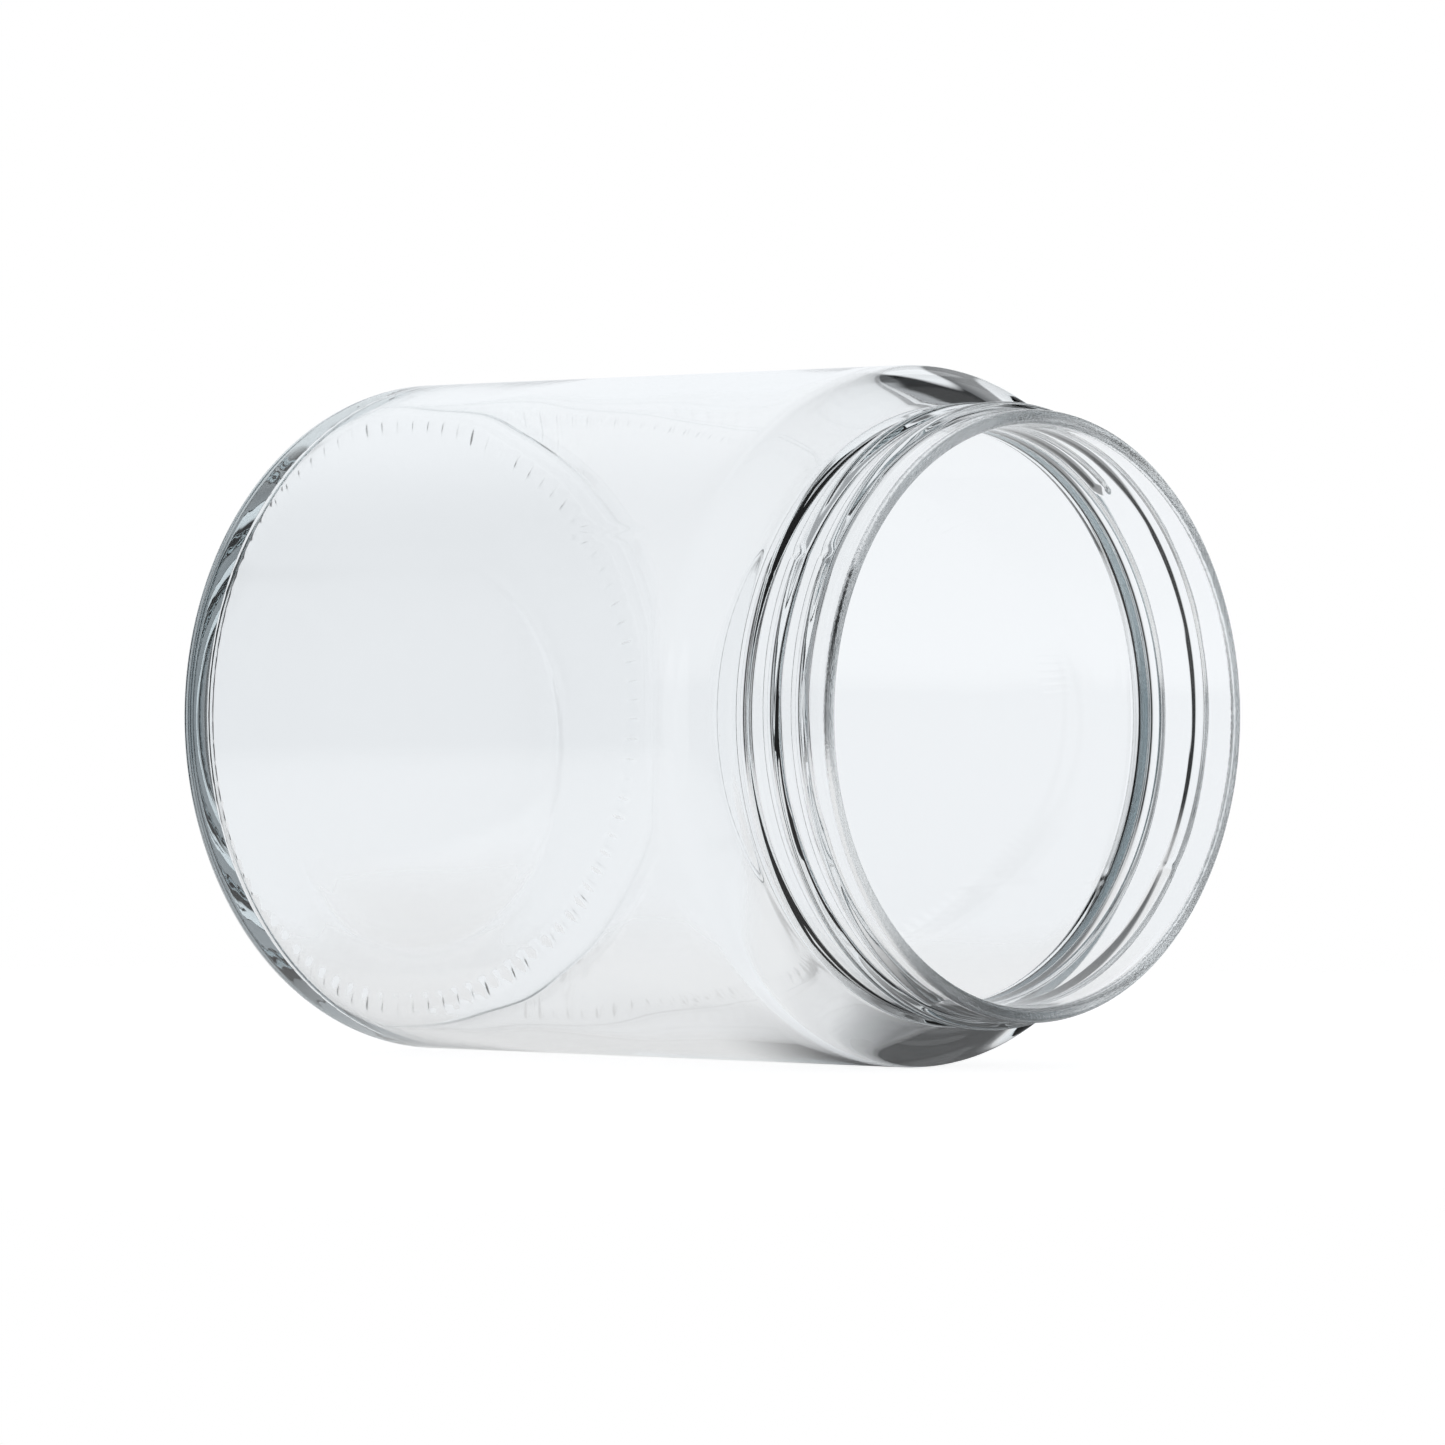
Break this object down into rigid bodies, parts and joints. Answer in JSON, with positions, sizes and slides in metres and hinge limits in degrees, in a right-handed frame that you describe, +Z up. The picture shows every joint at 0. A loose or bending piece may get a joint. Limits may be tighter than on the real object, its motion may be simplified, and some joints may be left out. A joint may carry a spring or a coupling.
{
  "type": "empty candle jar",
  "caption": "Straight-sided clear glass candle jar with a rounded shoulder, short screw-thread neck, wide open mouth and knurled base ring.",
  "frame": {"origin": "centre of the bearing plane that the jar stands on", "axes": "+Z up the jar's axis, from the base to the mouth; +X is 38 degrees past the thread's lower end"},
  "size_m": [0.0786, 0.0784, 0.1006],
  "materials": {
    "clear_glass": "fire-polished clear flint glass, mould-finished outside"
  },
  "bodies": {
    "root": {"glass_jar": "clear_glass"}
  },
  "joints": []
}
